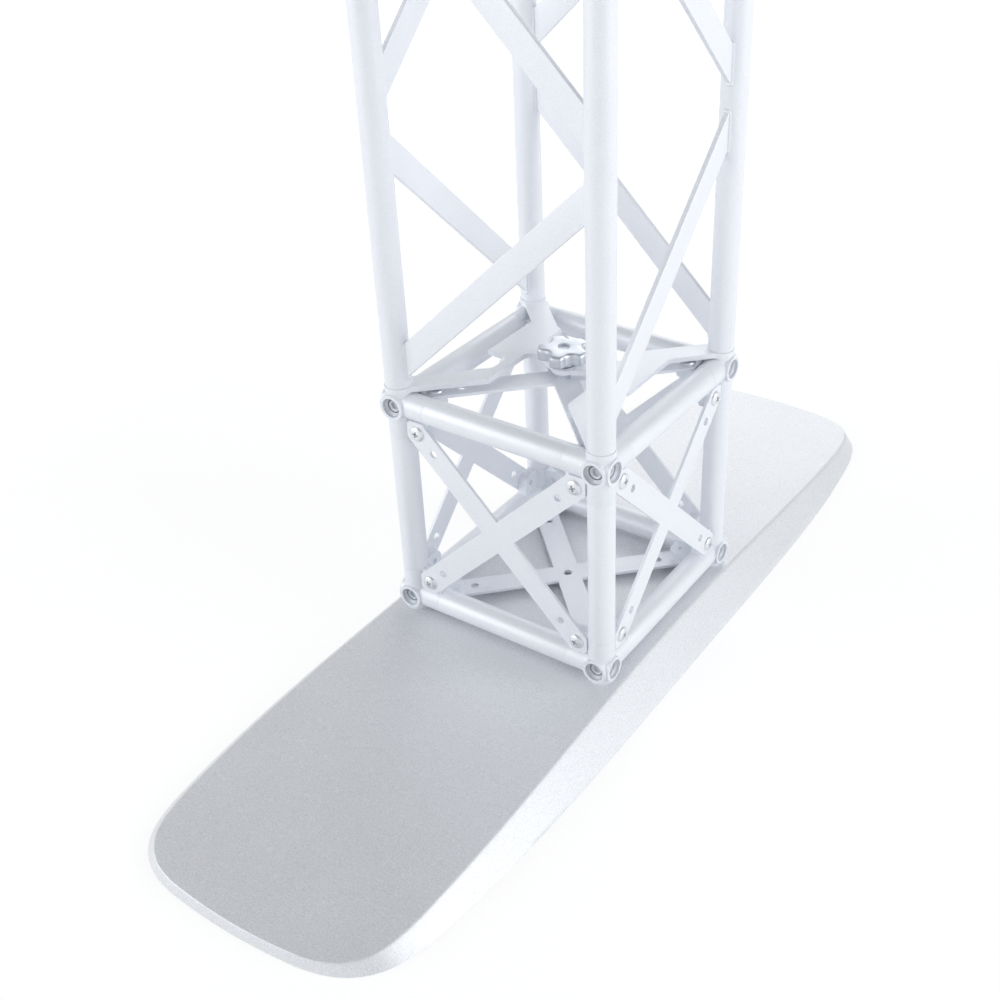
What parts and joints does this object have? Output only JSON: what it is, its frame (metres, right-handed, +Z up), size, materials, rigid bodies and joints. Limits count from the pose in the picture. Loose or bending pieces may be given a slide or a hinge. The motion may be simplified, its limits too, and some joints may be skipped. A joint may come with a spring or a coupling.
{
  "type": "lighting truss section",
  "caption": "Square lattice truss tower section standing on a cube junction with crossed braces and a long arched sheet-metal base plate; a star knob clamps tower to cube.",
  "frame": {"origin": "middle of the base plate's footprint on the floor", "axes": "+Z up along the tower, +Y along the base plate's length, +X across the base plate"},
  "size_m": [0.321, 1, 1.282],
  "materials": {
    "frame_paint": "satin silver powder coat",
    "casting_paint": "satin silver powder coat",
    "base_paint": "satin silver powder coat",
    "zinc_screws": "bright zinc plate",
    "plated_steel": "zinc plate",
    "knob_metal": "satin cast"
  },
  "bodies": {
    "stand": {"base_bolts": "plated_steel", "base_plate": "base_paint", "casting_lower_back_left": "casting_paint", "casting_lower_back_right": "casting_paint", "casting_lower_front_left": "casting_paint", "casting_lower_front_right": "casting_paint", "casting_upper_back_left": "casting_paint", "casting_upper_back_right": "casting_paint", "casting_upper_front_left": "casting_paint", "casting_upper_front_right": "casting_paint", "chord_plugs_lower": "plated_steel", "chord_sockets_upper": "plated_steel", "clamp_nut": "plated_steel", "cross_plate_back": "frame_paint", "cross_plate_bottom": "frame_paint", "cross_plate_front": "frame_paint", "cross_plate_left": "frame_paint", "cross_plate_right": "frame_paint", "cross_plate_screws": "zinc_screws", "cross_plate_top": "frame_paint", "cube_post_back_left": "frame_paint", "cube_post_back_right": "frame_paint", "cube_post_front_left": "frame_paint", "cube_post_front_right": "frame_paint", "cube_rail_lower_back": "frame_paint", "cube_rail_lower_front": "frame_paint", "cube_rail_lower_left": "frame_paint", "cube_rail_lower_right": "frame_paint", "cube_rail_upper_back": "frame_paint", "cube_rail_upper_front": "frame_paint", "cube_rail_upper_left": "frame_paint", "cube_rail_upper_right": "frame_paint", "end_inserts": "plated_steel", "tower_bar_back_1": "frame_paint", "tower_bar_back_2": "frame_paint", "tower_bar_back_3": "frame_paint", "tower_bar_back_4": "frame_paint", "tower_bar_front_1": "frame_paint", "tower_bar_front_2": "frame_paint", "tower_bar_front_3": "frame_paint", "tower_bar_front_4": "frame_paint", "tower_bar_left_1": "frame_paint", "tower_bar_left_2": "frame_paint", "tower_bar_left_3": "frame_paint", "tower_bar_left_4": "frame_paint", "tower_bar_right_1": "frame_paint", "tower_bar_right_2": "frame_paint", "tower_bar_right_3": "frame_paint", "tower_bar_right_4": "frame_paint", "tower_chord_back_left": "frame_paint", "tower_chord_back_right": "frame_paint", "tower_chord_front_left": "frame_paint", "tower_chord_front_right": "frame_paint", "tower_end_plate_lower": "frame_paint", "tower_end_plate_upper": "frame_paint"},
    "washer": {"clamp_washer": "plated_steel"},
    "knob": {"clamp_knob": "knob_metal", "clamp_stud": "plated_steel"}
  },
  "joints": [
    {"name": "clamp_rise", "type": "slide", "parent": "stand", "child": "washer", "axis": [0, 0, 1], "range_m": [0, 0.005]},
    {"name": "clamp_turn", "type": "hinge", "parent": "washer", "child": "knob", "pos_m": [0, 0, 0.289], "axis": [0, 0, 1], "range_deg": [0, 1440]}
  ],
  "couplings": [
    {"joint": "clamp_rise", "follows": "clamp_turn", "m_per_rad": 0.00019894}
  ]
}
